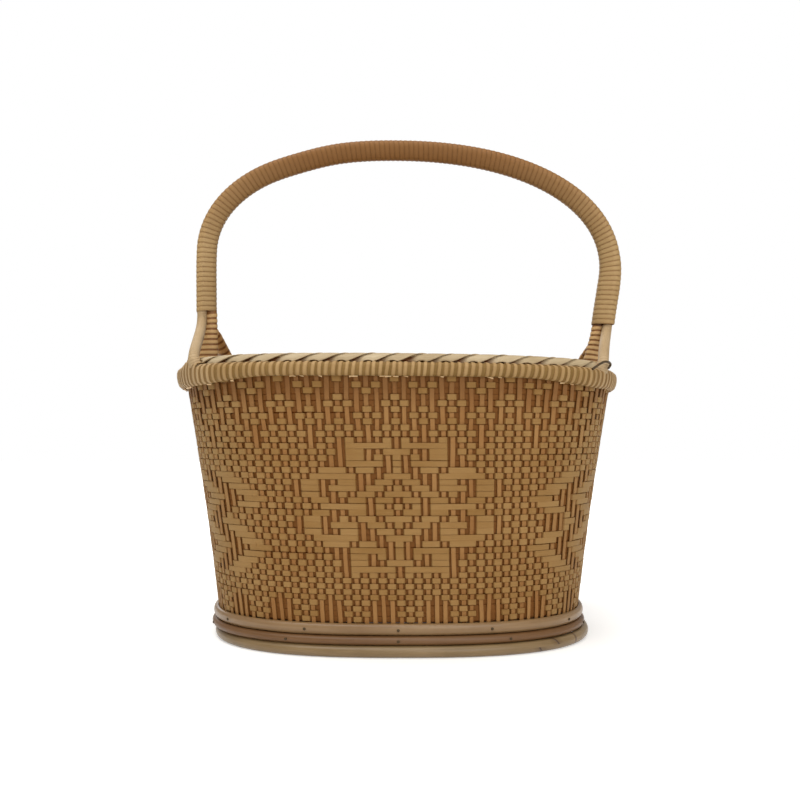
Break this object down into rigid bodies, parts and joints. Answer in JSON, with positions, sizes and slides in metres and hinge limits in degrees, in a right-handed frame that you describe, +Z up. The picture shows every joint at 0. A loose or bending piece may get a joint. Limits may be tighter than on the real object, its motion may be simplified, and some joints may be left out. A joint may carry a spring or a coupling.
{
  "type": "rattan basket",
  "caption": "Oval woven rattan basket with a flared wall, cane foot, lashed rim with a plaited border and a fixed arched handle wound with cane strip.",
  "frame": {"origin": "middle of the bounding box on the floor, under the foot", "axes": "+Z up, X along the basket's length and the handle's plane, front face towards -Y"},
  "size_m": [0.3704, 0.2686, 0.4125],
  "materials": {
    "weave": "satin woven rattan strip",
    "lining": "matte reddish brown splint",
    "pale_cane": "smooth polished cane",
    "red_cane": "smooth reddish cane",
    "strip": "satin binding cane",
    "pale_strip": "satin pale binding cane",
    "rod": "peeled rattan rod",
    "wire": "dark tarnished wire",
    "nail": "dark iron nail"
  },
  "bodies": {
    "root": {"base_panel": "weave", "foot_band": "rod", "foot_cane_bottom": "pale_cane", "foot_cane_middle": "red_cane", "foot_cane_top": "pale_cane", "handle_rod_back": "rod", "handle_rod_front": "rod", "handle_rod_inner": "rod", "handle_winding_1": "strip", "handle_winding_2": "strip", "handle_winding_3": "strip", "handle_winding_4": "strip", "handle_winding_5": "strip", "leg_winding_left_back": "pale_strip", "leg_winding_left_front": "pale_strip", "leg_winding_right_back": "pale_strip", "leg_winding_right_front": "pale_strip", "nail_middle_01": "nail", "nail_middle_02": "nail", "nail_middle_03": "nail", "nail_middle_04": "nail", "nail_middle_05": "nail", "nail_middle_06": "nail", "nail_middle_07": "nail", "nail_middle_08": "nail", "nail_middle_09": "nail", "nail_middle_10": "nail", "nail_top_01": "nail", "nail_top_02": "nail", "nail_top_03": "nail", "nail_top_04": "nail", "nail_top_05": "nail", "nail_top_06": "nail", "nail_top_07": "nail", "nail_top_08": "nail", "nail_top_09": "nail", "nail_top_10": "nail", "nail_top_11": "nail", "nail_top_12": "nail", "post_winding_left": "strip", "post_winding_right": "strip", "rim_border": "pale_strip", "rim_hoop_inner": "pale_cane", "rim_hoop_outer": "pale_cane", "rim_lashing": "strip", "tie_wire": "wire", "wall_lining": "lining", "wall_weave": "weave"}
  },
  "joints": []
}
